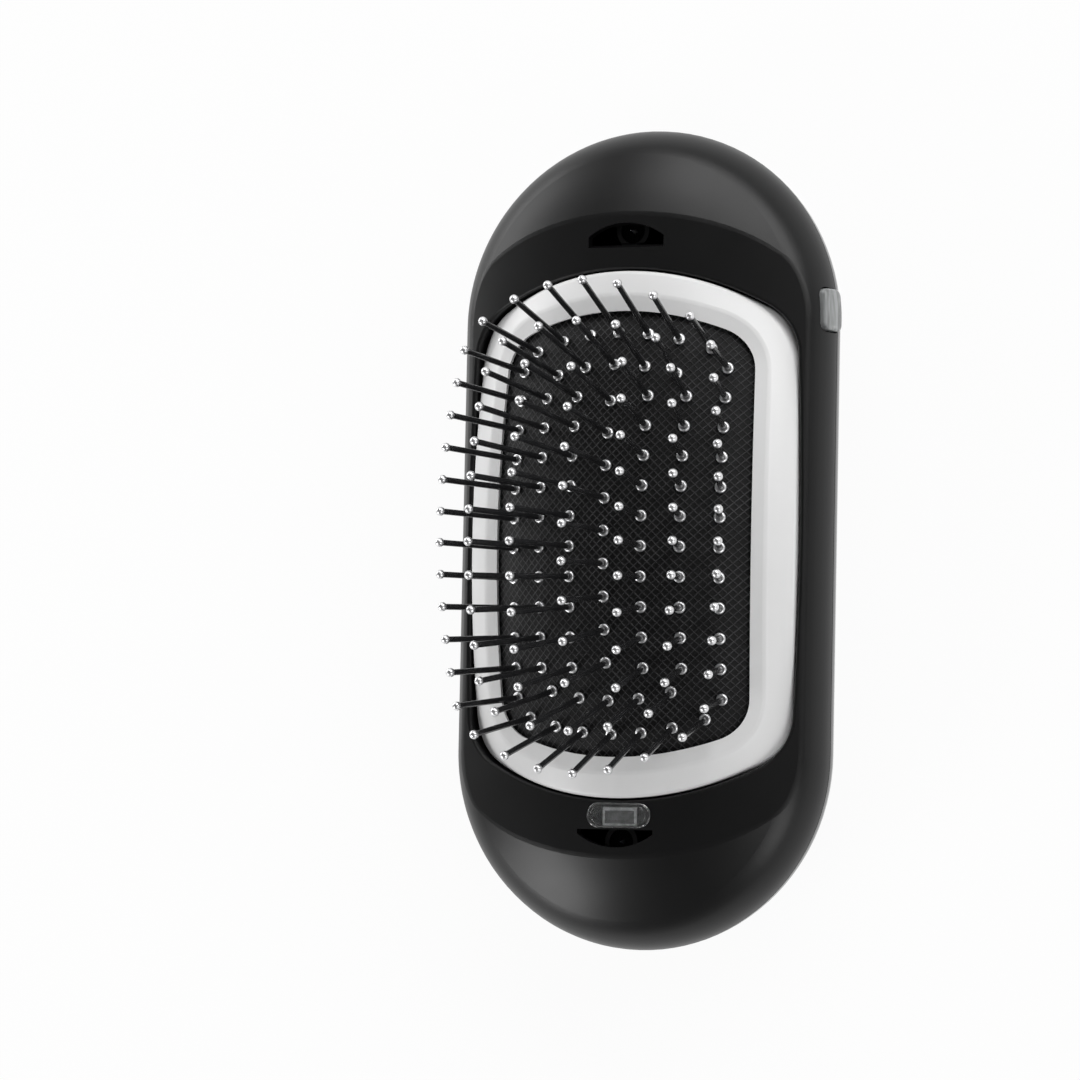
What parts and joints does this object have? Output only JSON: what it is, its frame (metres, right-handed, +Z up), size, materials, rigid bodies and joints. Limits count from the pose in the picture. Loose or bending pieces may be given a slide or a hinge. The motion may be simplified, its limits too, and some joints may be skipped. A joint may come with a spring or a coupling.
{
  "type": "ionic styling brush",
  "caption": "Palm-sized battery hair brush: pebble body, lift-off cushion head of ball-tipped pins in a white frame, side push button and ion outlets.",
  "frame": {"origin": "centre of the flat on the back, on which the brush lies", "axes": "+X to the button's side, +Y along the body away from the indicator lens, +Z up along the pins"},
  "size_m": [0.0809, 0.1672, 0.0661],
  "materials": {
    "front_black": "satin",
    "back_black": "high gloss",
    "frame_white": "satin",
    "cushion_black": "woven",
    "pin_black": "satin",
    "bright_metal": "polished",
    "inner_black": "matt",
    "button_grey": "translucent",
    "clear_lens": "clear",
    "switch_black": "matt",
    "plunger_white": "satin",
    "board_green": "solder mask",
    "component_grey": "matt",
    "potting_grey": "matt",
    "needle_steel": "ground",
    "holder_black": "matt",
    "lead_red": "smooth",
    "lead_black": "smooth",
    "led_clear": "diffuse",
    "cell_wrap": "printed wrap",
    "contact_nickel": "nickel plated",
    "screw_steel": "zinc plated"
  },
  "bodies": {
    "body": {"front_shell": "front_black", "back_shell": "back_black", "push_switch": "switch_black", "main_board": "board_green", "board_components": "component_grey", "ion_generator": "potting_grey", "upper_emitter_needle": "needle_steel", "lower_emitter_needle": "needle_steel", "upper_emitter_holder": "holder_black", "lower_emitter_holder": "holder_black", "upper_high_voltage_lead": "lead_red", "lower_high_voltage_lead": "lead_red", "supply_leads": "lead_black", "led_leads": "lead_black", "battery_leads": "lead_red", "indicator_led": "led_clear", "indicator_lens": "clear_lens", "battery_cell_1": "cell_wrap", "battery_cell_2": "cell_wrap", "battery_springs": "contact_nickel", "battery_contacts": "contact_nickel", "case_screws": "screw_steel", "board_screws": "screw_steel"},
    "button": {"power_button": "button_grey", "switch_plunger": "plunger_white"},
    "brush_head": {"brush_frame": "frame_white", "cushion": "cushion_black", "pad_base": "inner_black", "bristle_pins": "pin_black", "ball_tips": "bright_metal", "pin_collars": "bright_metal"}
  },
  "joints": [
    {"name": "button_press", "type": "slide", "parent": "body", "child": "button", "axis": [-1, 0, 0], "range_m": [0, 0.0006], "stiffness_N_per_m": 3000},
    {"name": "head_lift", "type": "slide", "parent": "body", "child": "brush_head", "axis": [0, 0, 1], "range_m": [0, 0.04]}
  ]
}
